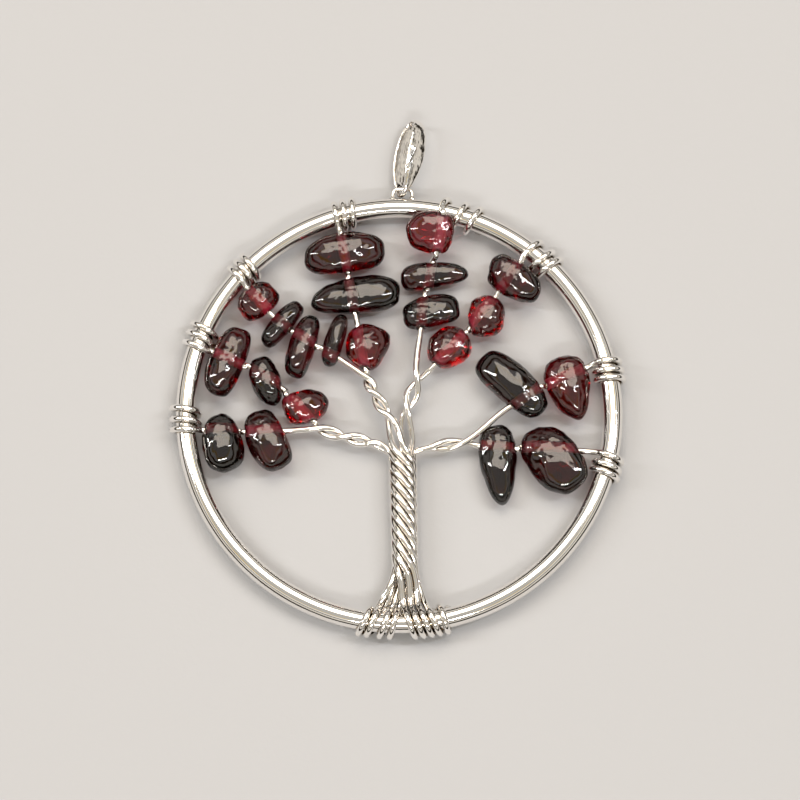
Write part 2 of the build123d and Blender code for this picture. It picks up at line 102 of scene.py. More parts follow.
def rounded(points, share):
    # a place and a direction on a smooth curve through a few points
    last = len(points) - 1
    index = min(int(share), last - 1)
    t = share - index
    before = points[index - 1] if index else 2 * points[0] - points[1]
    after = points[index + 2] if index + 2 <= last else 2 * points[last] - points[last - 1]
    a, b = points[index], points[index + 1]
    slopeA, slopeB = (b - before) / 2, (after - a) / 2
    place = (
        (2 * t**3 - 3 * t**2 + 1) * a
        + (t**3 - 2 * t**2 + t) * slopeA
        + (3 * t**2 - 2 * t**3) * b
        + (t**3 - t**2) * slopeB
    )
    slope = (
        (6 * t**2 - 6 * t) * (a - b)
        + (3 * t**2 - 4 * t + 1) * slopeA
        + (3 * t**2 - 2 * t) * slopeB
    )
    return place, unit(slope)


def bandFaces(rings, around, closed):
    # quads between rings of points, and from the last ring to the first if closed
    faces = []
    for ring in range(rings if closed else rings - 1):
        low = ring * around
        high = (ring + 1) % rings * around
        for i in range(around):
            j = (i + 1) % around
            faces.append((low + i, low + j, high + j, high + i))
    return faces


def tube(path, radius, sides):
    # a round tube with flat ends along a path, and how far along and round it each point lies
    along = [unit(b - a) for a, b in zip(path, path[1:])]
    facing = [along[0]] + [unit(a + b) for a, b in zip(along, along[1:])] + [along[-1]]
    side = unit(np.cross(facing[0], [0.3, 0.2, 1.0]))  # no path starts in that direction
    points, run, length = [], [], 0.0
    for index, (point, face) in enumerate(zip(path, facing)):
        side = unit(side - face * (side @ face))
        other = np.cross(face, side)
        if index:
            length += np.linalg.norm(point - path[index - 1])
        for i in range(sides):
            angle = 2 * math.pi * i / sides
            points.append(point + radius * (math.cos(angle) * side + math.sin(angle) * other))
            run.append((length, radius * angle))
    faces = bandFaces(len(path), sides, False)
    faces.append(tuple(range(sides))[::-1])
    last = (len(path) - 1) * sides
    faces.append(tuple(last + i for i in range(sides)))
    return np.array(points), faces, np.array(run)


def makePiece(name, points, faces, run, finish, slot, body, replaced):
    mesh = bpy.data.meshes.new(name)
    mesh.from_pydata([Vector(p) for p in np.asarray(points) + hoopCentre], [], faces)
    mesh.update()
    if run is not None:
        layer = mesh.uv_layers.new(name="run")
        corner = np.zeros(len(mesh.loops), int)
        mesh.loops.foreach_get("vertex_index", corner)
        layer.data.foreach_set("uv", (np.asarray(run)[corner] / mm).astype(np.float32).ravel())
    mesh.polygons.foreach_set("use_smooth", [True] * len(mesh.polygons))
    mesh.materials.append(finish)
    piece = bpy.data.objects.new(name, mesh)
    bpy.context.scene.collection.objects.link(piece)
    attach(piece, body)
    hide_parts(replaced)
    return piece


# Shader values as Python values: an expression on them adds its Math nodes.
class Signal:
    def __init__(self, finish, socket):
        self.finish, self.socket = finish, socket

    def maths(self, kind, first, second):
        node = self.finish.node("ShaderNodeMath", {"operation": kind}, {0: first, 1: second})
        return Signal(self.finish, node.outputs[0])

    def __add__(self, other):
        return self.maths("ADD", self, other)

    def __sub__(self, other):
        return self.maths("SUBTRACT", self, other)

    def __rsub__(self, other):
        return self.maths("SUBTRACT", other, self)

    def __mul__(self, other):
        return self.maths("MULTIPLY", self, other)

    __radd__ = __add__
    __rmul__ = __mul__


class Finish:
    def __init__(self, owner):
        owner.use_nodes = True
        self.owner, self.tree = owner, owner.node_tree
        self.tree.nodes.clear()

    def node(self, kind, settings=None, sockets=None):
        made = self.tree.nodes.new(kind)
        for key, value in (settings or {}).items():
            if key == "stops":
                self.setStops(made.color_ramp, value)
            else:
                setattr(made, key, value)
        for key, value in (sockets or {}).items():
            self.feed(made.inputs[key], value)
        return made

    def setStops(self, ramp, stops):
        while len(ramp.elements) < len(stops):
            ramp.elements.new(0.5)
        for element, (place, colour) in zip(ramp.elements, stops):
            element.position = place
            element.color = (*colour, 1.0)

    def feed(self, socket, value):
        if isinstance(value, Signal):
            self.tree.links.new(value.socket, socket)
        elif isinstance(value, bpy.types.NodeSocket):
            self.tree.links.new(value, socket)
        else:
            socket.default_value = value

    def noise(self, vector, scale, detail=2.0):
        made = self.node("ShaderNodeTexNoise", None, {"Vector": vector, "Scale": scale, "Detail": detail})
        return Signal(self, made.outputs["Fac"])

    def scaled(self, vector, by):
        made = self.node("ShaderNodeVectorMath", {"operation": "MULTIPLY"}, {0: vector, 1: by})
        return made.outputs[0]

    def mixed(self, share, first, second):
        made = self.node(
            "ShaderNodeMix", {"data_type": "RGBA"}, {"Factor": share, "A": first, "B": second}
        )
        return made.outputs["Result"]

    def bump(self, height, distance, strength=1.0):
        sockets = {"Height": height, "Distance": distance, "Strength": strength}
        return self.node("ShaderNodeBump", None, sockets).outputs["Normal"]


# Silver plate: bright and uneven, with fine lines drawn along it and painted shade, a dark brown colour,
# in its crevices and between its strands.
def silverFinish(name, plate):
    finish = Finish(bpy.data.materials.new(name))
    run = finish.node("ShaderNodeUVMap", {"uv_map": "run"}).outputs["UV"]
    place = finish.node("ShaderNodeTexCoord").outputs["Object"]
    lines = finish.noise(finish.scaled(run, plate["lineStretch"]), 1.0, plate["lineDetail"])
    patches = finish.noise(place, plate["patchScale"])
    # Painted shade: ambient occlusion darkens the base colour to dark brown where other metal is close, in
    # crevices and between strands.
    openness = finish.node(
        "ShaderNodeAmbientOcclusion",
        {"samples": plate["creviceSamples"]},
        {"Distance": plate["creviceReach"]},
    ).outputs["AO"]
    unshaded = Signal(finish, finish.node(
        "ShaderNodeMapRange",
        {"interpolation_type": "SMOOTHSTEP"},
        {"Value": openness, "From Min": plate["filmAt"][0], "From Max": plate["filmAt"][1]},
    ).outputs["Result"])
    silver = finish.mixed(patches, plate["bright"], plate["warm"])
    height = lines * plate["lineHeight"] + patches * plate["patchHeight"]
    finish.node("ShaderNodeOutputMaterial", None, {
        "Surface": finish.node("ShaderNodeBsdfPrincipled", None, {
            "Base Color": finish.mixed(1 - unshaded, silver, plate["film"]),
            "Metallic": 1.0,
            "Roughness": plate["roughness"] + lines * plate["roughnessSpread"],
            "Normal": finish.bump(height, plate["depth"]),
        }).outputs["BSDF"],
    })
    return finish.owner


hoopPlate = {
    "bright": (0.95, 0.94, 0.93, 1.0),
    "warm": (0.90, 0.86, 0.80, 1.0),
    # the dark brown of the painted shade in crevices, and the occlusion range over which it fades in
    "film": (0.28, 0.18, 0.05, 1.0),
    "filmAt": (0.32, 0.70),
    "creviceReach": 0.35 * mm,
    "creviceSamples": 6,
    "lineStretch": (0.12, 9.0, 1.0),
    "lineDetail": 3.0,
    "lineHeight": 0.5,
    "patchScale": 420.0,
    "patchHeight": 3.0,
    "roughness": 0.035,
    "roughnessSpread": 0.09,
    "depth": 0.006 * mm,
}
wirePlate = hoopPlate | {"lineStretch": (0.5, 6.0, 1.0), "patchScale": 900.0, "depth": 0.01 * mm}
bailPlate = hoopPlate | {
    "film": (0.20, 0.12, 0.05, 1.0),
    "filmAt": (0.28, 0.80),
    "creviceReach": 1.0 * mm,
    "lineStretch": (0.3, 5.0, 1.0),
    "patchScale": 1000.0,
    "patchHeight": 3.4,
    "roughness": 0.04,
    "depth": 0.03 * mm,
}
hoopFinish = silverFinish("hoopPlate", hoopPlate)
wireFinish = silverFinish("wirePlate", wirePlate)
bailFinish = silverFinish("bailPlate", bailPlate)


# Garnet: clear stone from near black to rose, cloudy in places, lit in its thin edges and along the
# frosted drill hole.
garnet = {
    "roughness": 0.012,
    "refraction": 1.76,
    "cloudScale": 330.0,
    "cloudDetail": 1.0,
    "cloudAt": (0.40, 0.60),
    "drilledRoughness": 0.55,
    "drilledColour": (0.95, 0.62, 0.66, 1.0),
    "drilledShare": 0.75,
    "dentScale": 620.0,
    "dentDetail": 0.0,
    "dentDepth": 0.05 * mm,
    "dark": {
        "clear": (0.84, 0.52, 0.50),
        "cloudy": (0.40, 0.32, 0.27),
        "through": (0.74, 0.12, 0.26, 1.0),
        "depthOfColour": 2700.0,
    },
    "wine": {
        "clear": (0.98, 0.70, 0.76),
        "cloudy": (0.52, 0.35, 0.36),
        "through": (0.82, 0.12, 0.36, 1.0),
        "depthOfColour": 2200.0,
    },
    "rose": {
        "clear": (1.0, 0.72, 0.78),
        "cloudy": (0.66, 0.40, 0.42),
        "through": (0.88, 0.15, 0.38, 1.0),
        "depthOfColour": 2000.0,
    },
}


def garnetFinish(kind):
    look = garnet[kind]
    finish = Finish(bpy.data.materials.new(kind + "Garnet"))
    place = finish.node("ShaderNodeTexCoord").outputs["Object"]
    mark = finish.node("ShaderNodeAttribute", {"attribute_name": "drilled"})
    drilled = Signal(finish, mark.outputs["Fac"])
    cloudNoise = finish.noise(place, garnet["cloudScale"], garnet["cloudDetail"])
    stops = list(zip(garnet["cloudAt"], (look["clear"], look["cloudy"])))
    clouds = finish.node("ShaderNodeValToRGB", {"stops": stops}, {"Fac": cloudNoise}).outputs["Color"]
    dents = finish.noise(place, garnet["dentScale"], garnet["dentDetail"])
    clear = finish.node("ShaderNodeBsdfPrincipled", None, {
        "Base Color": clouds,
        "Roughness": garnet["roughness"] + drilled * garnet["drilledRoughness"],
        "IOR": garnet["refraction"],
        "Transmission Weight": 1.0,
        "Normal": finish.bump(dents, garnet["dentDepth"]),
    }).outputs["BSDF"]
    frosted = finish.node("ShaderNodeBsdfPrincipled", None, {
        "Base Color": garnet["drilledColour"],
        "Roughness": garnet["drilledRoughness"],
    }).outputs["BSDF"]
    mixed = finish.node(
        "ShaderNodeMixShader", None, {"Fac": drilled * garnet["drilledShare"], 1: clear, 2: frosted}
    ).outputs["Shader"]
    depth = finish.node(
        "ShaderNodeVolumeAbsorption", None, {"Color": look["through"], "Density": look["depthOfColour"]}
    ).outputs["Volume"]
    finish.node("ShaderNodeOutputMaterial", None, {"Surface": mixed, "Volume": depth})
    return finish.owner


garnetFinishes = {kind: garnetFinish(kind) for kind in ("dark", "wine", "rose")}
print("finishes made")


# The round hoop, with the eye's wire soldered on its top.
def hoopPoints():
    points, run = [], []
    for step in range(hoop["stepsRound"]):
        angle = 2 * math.pi * step / hoop["stepsRound"]
        around = hoop["waveScale"] * radial(angle) + [0, 0, hoop["waveSeed"]]
        wave = hoop["waviness"] * noise.noise(Vector(around))
        for i in range(hoop["sides"]):
            turn = 2 * math.pi * i / hoop["sides"]
            out = ringR + wave + hoopR * math.cos(turn)
            points.append(out * radial(angle) + [0, 0, hoopR * math.sin(turn)])
            run.append((ringR * angle, hoopR * turn))
    faces = bandFaces(hoop["stepsRound"], hoop["sides"], True)
    return np.array(points), [face[::-1] for face in faces], np.array(run)


bail = {
    "length": 8.95 * mm,
    "depth": 3.4 * mm,
    "stripWidth": 2.2 * mm,
    "stripThickness": 0.42 * mm,
    "bendR": 0.8 * mm,
    "swingGap": 0.14 * mm,
    "lean": 11.0,
    "twist": 32.0,
    "stations": 180,
    "sectionSides": 32,
    "insideFlatness": 0.55,
    "outsideFlatness": 0.85,
}
# The strip's middle line from its bottom to its top fold, as shares of the bail's length, of half
# its depth and of the strip's width. The second leg is the first one's mirror image.
bailColumns = ("along", "out", "width")
bailRows = [
    (0.000, 0.00, 0.22),
    (0.018, 0.34, 0.22),
    (0.070, 0.56, 0.25),
    (0.170, 0.78, 0.55),
    (0.330, 0.94, 0.86),
    (0.500, 1.00, 1.00),
    (0.700, 0.95, 0.96),
    (0.860, 0.78, 0.80),
    (0.955, 0.48, 0.58),
    (1.000, 0.00, 0.44),
]
eyeY = ringR + hoopR + bail["bendR"] + bail["stripThickness"] / 2 + bail["swingGap"]


def eyePath():
    # up from the rod, round two corners and down to the rod again
    bend = eyeHalf * hoop["eyeCorner"]
    low, high = ringR + hoopR / 2, eyeY - bend
    left, right = hoop["eyeX"] - eyeHalf, hoop["eyeX"] + eyeHalf
    legs, corners = hoop["eyeLegSteps"], hoop["eyeCornerSteps"]
    path = [np.array([left, low + share * (high - low), 0.0]) for share in np.linspace(0, 1, legs)]
    for angle in np.linspace(180, 90, corners)[1:]:
        path.append(np.array([left + bend, high, 0.0]) + bend * radial(math.radians(angle)))
    for angle in np.linspace(90, 0, corners):
        path.append(np.array([right - bend, high, 0.0]) + bend * radial(math.radians(angle)))
    for share in np.linspace(1, 0, legs)[1:]:
        path.append(np.array([right, low + share * (high - low), 0.0]))
    return path


def solderBead(x):
    # a lump of solder that runs out on to the rod, a little uneven
    points, run = [], []
    rings, around = hoop["solderRings"], hoop["solderAround"]
    middle = np.array([x, ringR + hoopR * hoop["solderAt"], 0.0])
    for ring in range(rings + 1):
        fall = math.pi * ring / rings
        for i in range(around):
            angle = 2 * math.pi * i / around
            out = np.array([0.0, math.cos(fall), 0.0]) + math.sin(fall) * turned(angle)
            lump = noise.noise(Vector(out * hoop["solderLumpScale"] + [x / mm, 0, 0]))
            size = hoop["solderWidth"] / 2 * (1 + hoop["solderLumps"] * lump)
            points.append(middle + size * out)
            run.append((size * fall, size * angle))
    return np.array(points), bandFaces(rings + 1, around, False), np.array(run)


def makeHoop():
    shapes = [hoopPoints(), tube(eyePath(), hoop["eyeWire"] / 2, hoop["eyeSides"])]
    shapes += [solderBead(hoop["eyeX"] - eyeHalf), solderBead(hoop["eyeX"] + eyeHalf)]
    points, faces, run, count = [], [], [], 0
    for shapePoints, shapeFaces, shapeRun in shapes:
        points.append(shapePoints)
        faces += [tuple(corner + count for corner in face) for face in shapeFaces]
        run.append(shapeRun)
        count += len(shapePoints)
    makePiece(
        "hoopAndEye", np.vstack(points), faces, np.vstack(run), hoopFinish, "hoop_metal", "pendant", "hoop"
    )


makeHoop()


# The bail, a closed loop of strip whose bottom bend hangs round the eye's far limb.
def bailTurn():
    lean, twist = math.radians(-bail["lean"]), math.radians(bail["twist"])
    length = np.array([-math.sin(lean), math.cos(lean), 0.0])
    flat = np.array([math.cos(lean), math.sin(lean), 0.0])
    depth = math.cos(twist) * np.array([0, 0, 1.0]) + math.sin(twist) * flat
    return np.column_stack([np.cross(length, depth), length, depth])


def stripSection(angle):
    # across the strip and outward through it: flat inside, softly crowned outside
    across, proud = math.cos(angle), math.sin(angle)
    flatness = bail["insideFlatness"] if proud < 0 else bail["outsideFlatness"]
    across = math.copysign(abs(across) ** flatness, across) / 2
    proud = math.copysign(abs(proud) ** flatness, proud) / 2
    return across, proud


def makeBail():
    rows = [rowOf(bailColumns, row) for row in bailRows]
    half = bail["depth"] / 2 - bail["stripThickness"] / 2
    leg = [
        np.array([row["width"] * bail["stripWidth"], row["along"] * bail["length"], row["out"] * half])
        for row in rows
    ]
    loop = leg + [point * [1, 1, -1] for point in leg[-2:0:-1]]
    spacing = len(loop) / bail["stations"]
    loop = loop + loop[:3]
    turn = bailTurn()
    points, run, length, last = [], [], 0.0, None
    for station in range(bail["stations"]):
        place, along = rounded(loop, 1 + station * spacing)
        width = place[0]
        along = unit(along * [0, 1, 1])
        out = np.array([0.0, along[2], -along[1]])
        if out @ (place - [0, bail["length"] / 2, 0]) < 0:
            out = -out
        centre = np.array([0.0, place[1] - bail["bendR"], place[2]])
        length += 0.0 if last is None else np.linalg.norm(centre - last)
        last = centre
        for i in range(bail["sectionSides"]):
            across, proud = stripSection(2 * math.pi * i / bail["sectionSides"])
            local = centre + [across * width, 0, 0] + proud * bail["stripThickness"] * out
            points.append(turn @ local + [hoop["eyeX"], eyeY, 0])
            run.append((length, across * width))
    faces = bandFaces(bail["stations"], bail["sectionSides"], True)
    makePiece("bailStrip", points, faces, run, bailFinish, "bail_metal", "bail", "bail")


makeBail()
print("hoop and bail made")

# Eight soft wires, each from its hook at the hoop's foot up the trunk, along a branch and through
# its stones to its wrap on the rim.
wire = {
    "width": 0.72 * mm,
    "gap": 0.05 * mm,
    "step": 0.36 * mm,
    "sides": 14,
    "stretch": 1.12,
    "stepsPerPoint": 3,
    "softening": 2,
    "softShare": 0.25,
    "easeReach": 2.5,
    "easeSkip": 6,
    "easeRounds": 60,
    "easePush": 0.7,
    "easeSpread": 0.5,
}
wireR = wire["width"] / 2
wirePitch = wire["width"] + wire["gap"]
coilR = hoopR + wireR + wire["gap"]

# The trunk's axis and the length of one turn as shares of the crown's radius. The phases are those
# of the strands at its top, seen from the foot, 0 toward +X and 90 toward the face.
trunk = {
    "top": (0.016, -0.215),
    "foot": (0.028, -0.785),
    "layTop": 0.42,
    "layFoot": 0.55,
    "phase": {
        "wire_left_low": 157.5,
        "wire_left_high": 202.5,
        "wire_upper_left": 67.5,
        "wire_top_left": 112.5,
        "wire_top": 247.5,
        "wire_upper_right": 292.5,
        "wire_right_high": 337.5,
        "wire_right_low": 22.5,
    },
}
wireNames = list(trunk["phase"])

# Two strands cross at the nodes of each branch, and the first one named lies over the other at the
# first node. Nodes are shares of the crown's radius, and the spread counts wire widths.
branches = {
    "left": {
        "over": "wire_left_low",
        "under": "wire_left_high",
        "spread": 1.45,
        "nodes": [(-0.131, -0.152, 0.006), (-0.262, -0.122, 0.0), (-0.399, -0.080, 0.0)],
    },
    "upperLeft": {
        "over": "wire_upper_left",
        "under": "wire_top_left",
        "spread": 1.45,
        "nodes": [(-0.055, -0.020, 0.022), (-0.122, 0.093, 0.010), (-0.157, 0.184, 0.0)],
    },
    "top": {
        "over": "wire_upper_right",
        "under": "wire_top",
        "spread": 1.75,
        "nodes": [(0.038, 0.025, -0.014), (0.088, 0.163, 0.0)],
    },
    "right": {
        "over": "wire_right_low",
        "under": "wire_right_high",
        "spread": 1.35,
        "nodes": [(0.160, -0.177, 0.012), (0.330, -0.144, 0.0)],
    },
}

# Where each wire leaves the hoop for the trunk, turns round its outer edge and ends, in wire widths
# to the right of the hoop's foot.
foot = {
    "legAngle": 38.0,
    "endAngle": 31.0,
    "columns": ("leg", "tip", "end", "more"),
    "behind": [
        (-3.90, -6.10, -4.60, 0.0),
        (-2.65, -4.85, -3.35, 0.0),
        (-1.45, -3.00, -1.50, 0.0),
        (-0.25, -1.50, -0.20, 0.0),
    ],
    "before": [
        (0.95, 2.35, 3.25, 0.0),
        (2.15, 3.60, 4.50, 0.0),
        (3.40, 4.80, 5.70, 0.0),
        (4.65, 5.95, 7.95, 7.10),
    ],
}

# The first crossing over the hoop's face in degrees from +X, the steps to the next two in wire
# widths, all clockwise, and where the wire meets the rod, in degrees round it.
rim = {
    "lastAngle": -840.0,
    "columns": ("start", "firstStep", "secondStep", "landing"),
    "wire_left_low": (-174.8, 1.55, 1.75, 140),
    "wire_left_high": (161.9, 1.65, 1.45, 140),
    "wire_upper_left": (139.4, 1.35, 1.30, 128),
    "wire_top_left": (107.5, 1.30, 1.40, 140),
    "wire_top": (78.7, 3.15, 2.25, 95),
    "wire_upper_right": (51.8, 2.50, 1.60, 120),
    "wire_right_high": (14.0, 1.50, 1.30, 140),
    "wire_right_low": (-12.4, 1.50, 1.20, 140),
}

# Stones in the order in which each wire meets them. Lengths are shares of the crown's radius: a
# point of the hole, the stone's middle, its length, width and thickness. The turn of its length
# from +X and the place of its first corner are in degrees, and the taper narrows its far end.
stone = {
    "drillGap": 0.19 * mm,
    "mouthRun": 0.08 * mm,
    "wear": 0.12,
    "wearStep": 2.4,
    "blunt": 0.17,
    "bevel": 42.0,
    "lean": 0.16,
    "leanAside": 0.5,
    "softness": 7,
    "halvings": 28,
    "mouthSteps": 12,
    "around": 72,
    "bands": 54,
    "wallSteps": 6,
    "mouthRound": 0.06 * mm,
    "mouthFade": 5,
    "lumps": 0.055,
    "lumpScale": 2.1,
    "lumpLevel": 0.3,
    "dimples": 0.022,
    "dimpleScale": 4.6,
    "dimpleLevel": 0.2,
    "columns": (
        "holeX", "holeY", "holeZ", "midX", "midY",
        "long", "wide", "thick", "turn", "taper", "corners", "spin",
    ),
    "wire_left_low": [
        (-0.649, -0.094, 0.004, -0.645, -0.141, 0.349, 0.214, 0.155, 113, 0.06, 8, 0),
        (-0.858, -0.092, 0.008, -0.864, -0.158, 0.310, 0.218, 0.155, 100, 0.05, 8, 12),
    ],
    "wire_left_high": [
        (-0.498, 0.034, 0.004, -0.462, 0.032, 0.246, 0.180, 0.150, 10, 0.10, 8, 10),
        (-0.652, 0.174, -0.002, -0.657, 0.164, 0.270, 0.151, 0.140, 108, 0.0, 7, 0),
        (-0.828, 0.262, 0.012, -0.844, 0.260, 0.405, 0.192, 0.150, 68, 0.06, 8, 0),
    ],
    "wire_upper_left": [
        (-0.334, 0.294, 0.010, -0.317, 0.367, 0.300, 0.109, 0.135, 74, 0.0, 8, 0),
        (-0.485, 0.383, 0.010, -0.478, 0.330, 0.365, 0.145, 0.150, 73, 0.05, 8, 0),
        (-0.590, 0.461, -0.002, -0.579, 0.452, 0.312, 0.118, 0.135, 50, 0.0, 8, 0),
        (-0.696, 0.567, 0.018, -0.698, 0.563, 0.232, 0.178, 0.150, 40, 0.0, 8, 0),
    ],
    "wire_top_left": [
        (-0.186, 0.340, 0.006, -0.155, 0.336, 0.239, 0.226, 0.150, 60, 0.0, 7, 15),
        (-0.234, 0.592, -0.004, -0.214, 0.595, 0.482, 0.203, 0.140, 8, -0.16, 8, 0),
        (-0.272, 0.807, 0.008, -0.270, 0.810, 0.441, 0.224, 0.155, 8, 0.0, 8, 0),
    ],
    "wire_top": [
        (0.116, 0.516, 0.004, 0.159, 0.512, 0.320, 0.180, 0.135, 12, 0.0, 8, 0),
        (0.151, 0.700, -0.018, 0.176, 0.704, 0.378, 0.144, 0.104, 6, 0.30, 8, 0),
        (0.199, 0.894, 0.062, 0.157, 0.907, 0.232, 0.262, 0.112, 80, 0.0, 8, 0),
    ],
    "wire_upper_right": [
        (0.268, 0.341, 0.004, 0.247, 0.332, 0.237, 0.204, 0.150, 30, 0.0, 7, 0),
        (0.408, 0.502, 0.004, 0.429, 0.486, 0.230, 0.199, 0.150, 80, 0.0, 8, 10),
        (0.547, 0.687, 0.028, 0.568, 0.671, 0.318, 0.198, 0.150, -36, 0.10, 8, 10),
    ],
    "wire_right_high": [
        (0.602, 0.066, 0.018, 0.557, 0.138, 0.454, 0.217, 0.155, -43, 0.14, 8, 0),
        (0.817, 0.176, 0.014, 0.836, 0.126, 0.351, 0.216, 0.155, 105, -0.25, 7, 0),
    ],
    "wire_right_low": [
        (0.487, -0.172, -0.010, 0.486, -0.254, 0.430, 0.184, 0.138, 94, -0.22, 7, 0),
        (0.726, -0.182, 0.004, 0.760, -0.246, 0.406, 0.267, 0.155, -52, 0.06, 7, 0),
    ],
}
drillR = wireR + stone["drillGap"]


def bridge(before, after):
    # a smooth curve from the end of one run to the start of the next
    start, end = before[-1], after[0]
    leave = unit(before[-1] - before[-2])
    arrive = unit(after[1] - after[0])
    span = np.linalg.norm(end - start)
    count = max(2, int(round(span / wire["step"])))
    points = []
    for t in np.arange(1, count) / count:
        keep = 2 * t**3 - 3 * t**2 + 1
        points.append(
            keep * start
            + (1 - keep) * end
            + span * (t**3 - 2 * t**2 + t) * leave
            + span * (t**3 - t**2) * arrive
        )
    return np.array(points).reshape(-1, 3)


def coil(turnAngles, places):
    # a run round the hoop's rod: 0 is its outer edge, 90 its face and 180 its inner edge
    low, high = turnAngles[0], turnAngles[-1]
    count = int(math.ceil(abs(math.radians(high - low)) * coilR / wire["step"]))
    order = np.argsort(turnAngles)
    points = []
    for share in np.linspace(0, 1, count + 1):
        turn = low + share * (high - low)
        place = math.radians(np.interp(turn, np.array(turnAngles)[order], np.array(places)[order]))
        out = ringR + coilR * math.cos(math.radians(turn))
        points.append(out * radial(place) + [0, 0, coilR * math.sin(math.radians(turn))])
    return np.array(points)


def rimRun(name):
    row = rowOf(rim["columns"], rim[name])
    step = math.degrees(wire["width"] / ringR)
    first = row["start"]
    second = first - row["firstStep"] * step
    third = second - row["secondStep"] * step
    slope = row["secondStep"] * step / 360
    angles = [row["landing"], 90.0, -270.0, -630.0, rim["lastAngle"]]
    places = [
        first + row["firstStep"] * step * (row["landing"] - 90) / 360,
        first,
        second,
        third,
        third - slope * (-630.0 - rim["lastAngle"]),
    ]
    return coil(angles, places)


def footRun(side, row):
    row = rowOf(foot["columns"], row)
    step = math.degrees(wire["width"] / ringR)
    if side == "behind":
        angles = [180 + foot["legAngle"], 360.0, 540.0 - foot["endAngle"]]
        along = [row["leg"], row["tip"], row["end"]]
    elif row["more"]:
        angles = [180 - foot["legAngle"], 0.0, -360.0, -540.0 + foot["endAngle"]]
        along = [row["leg"], row["tip"], row["more"], row["end"]]
    else:
        angles = [180 - foot["legAngle"], 0.0, -180.0 + foot["endAngle"]]
        along = [row["leg"], row["tip"], row["end"]]
    places = [-90 + x * step for x in along]
    return coil(angles[::-1], places[::-1])


def strandRadius(lay):
    # how far from the trunk's axis strands of this lay touch their neighbours
    spread = 2 * math.sin(math.pi / len(wireNames))
    return wirePitch * lay / math.sqrt((spread * lay) ** 2 - (2 * math.pi * wirePitch) ** 2)


def trunkRun(name):
    top, low = np.array(trunk["top"]) * crownR, np.array(trunk["foot"]) * crownR
    count = int(round((top[1] - low[1]) * wire["stretch"] / wire["step"]))
    phase = math.radians(trunk["phase"][name])
    points = []
    for share in np.linspace(0, 1, count + 1):
        middle = top + share * (low - top)
        lay = (trunk["layTop"] + share * (trunk["layFoot"] - trunk["layTop"])) * crownR
        points.append([middle[0], middle[1], 0.0] + strandRadius(lay) * turned(phase))
        phase -= 2 * math.pi * (top[1] - low[1]) / count / lay
    return np.array(points)[::-1]


def branchRun(branch, first):
    nodes = np.array(branch["nodes"]) * crownR
    length = sum(np.linalg.norm(b - a) for a, b in zip(nodes, nodes[1:]))
    count = int(round(length * wire["stretch"] / wire["step"]))
    wide = branch["spread"] * wire["width"] / 2
    points = []
    for share in np.linspace(0, len(nodes) - 1, count + 1):
        middle, along = rounded(nodes, share)
        across = unit(np.array([-along[1], along[0], 0.0]))
        phase = math.radians((90 if first else -90) - 180 * share)
        points.append(middle + wide * math.cos(phase) * across + [0, 0, wirePitch / 2 * math.sin(phase)])
    return np.array(points)


def stoneFlats(corners, spin):
    # the flats of a tumbled stone: its girdle, a worn band above and below, its face and its back
    flats = []
    bevel = math.radians(stone["bevel"])
    for i in range(corners):
        around = math.radians(spin + 360 * i / corners)
        worn = 1.0 - stone["wear"] * (0.5 + 0.5 * math.sin(stone["wearStep"] * i + spin))
        worn += stone["blunt"] * math.sin(2 * around) ** 2
        flats.append((math.cos(around), math.sin(around), 0.0, worn))
        for rise in (bevel, -bevel):
            turnedBy = around + math.copysign(math.pi / corners / 2, rise)
            level = math.cos(rise)
            spare = 1.0 + stone["blunt"] * math.sin(2 * turnedBy) ** 2
            flats.append((level * math.cos(turnedBy), level * math.sin(turnedBy), math.sin(rise), spare))
    aside = stone["leanAside"] * stone["lean"]
    flats.append((stone["lean"], aside, 1.0, 1.0))
    flats.append((-stone["lean"], aside, -1.0, 1.0))
    return np.array(flats)


def stoneForm(row, level, hole):
    up = unit(np.array([0, 0, 1.0]) - hole * hole[2])
    longAxis = radial(math.radians(row["turn"]))
    longAxis = unit(longAxis - up * (longAxis @ up))
    flat = np.array([row["midX"], row["midY"]]) * crownR - level[:2]
    rise = -(flat @ up[:2]) / up[2]
    return {
        "middle": level + [flat[0], flat[1], rise],
        "axes": np.array([longAxis, np.cross(up, longAxis), up]),
        "half": np.array([row["long"], row["wide"], row["thick"]]) * crownR / 2,
        "taper": row["taper"],
        "flats": stoneFlats(row["corners"], row["spin"]),
        "level": level,
        "hole": hole,
    }


def stoneDepth(points, form):
    # below 0 inside the stone, 0 on its surface
    x, y, z = ((points - form["middle"]) @ form["axes"].T / form["half"]).T
    narrow = 1 - form["taper"] * np.clip(x, -1.0, 1.0)
    flats = form["flats"]
    shaped = np.column_stack([x, y / narrow, z / (0.5 + 0.5 * narrow)])
    reach = np.maximum(shaped @ flats[:, :3].T / flats[:, 3], 0)
    return (reach ** stone["softness"]).sum(axis=1) ** (1 / stone["softness"]) - 1


def surfaceAlong(starts, directions, form):
    # how far it is from points inside a stone to its surface
    near, far = np.zeros(len(starts)), np.full(len(starts), crownR)
    for _ in range(stone["halvings"]):
        middle = (near + far) / 2
        inside = stoneDepth(starts + middle[:, None] * directions, form) < 0
        near, far = np.where(inside, middle, near), np.where(inside, far, middle)
    return near


def stonesOf(name):
    nodes = [b["nodes"] for b in branches.values() if name in (b["over"], b["under"])][0]
    rows = [rowOf(stone["columns"], row) for row in stone[name]]
    line = [nodes[-1]] + [(row["holeX"], row["holeY"], row["holeZ"]) for row in rows]
    landing = ringR * radial(math.radians(rim[name][0])) + [0, 0, coilR]
    line = np.vstack([np.array(line) * crownR, landing])
    return [stoneForm(row, line[i + 1], unit(line[i + 2] - line[i])) for i, row in enumerate(rows)]


def mouthRim(form, radius, count):
    side = unit(np.cross(form["hole"], [0, 0, 1.0]))
    other = np.cross(form["hole"], side)
    angles = 2 * math.pi * np.arange(count) / count
    outward = np.outer(np.cos(angles), side) + np.outer(np.sin(angles), other)
    return form["level"] + radius * outward, outward


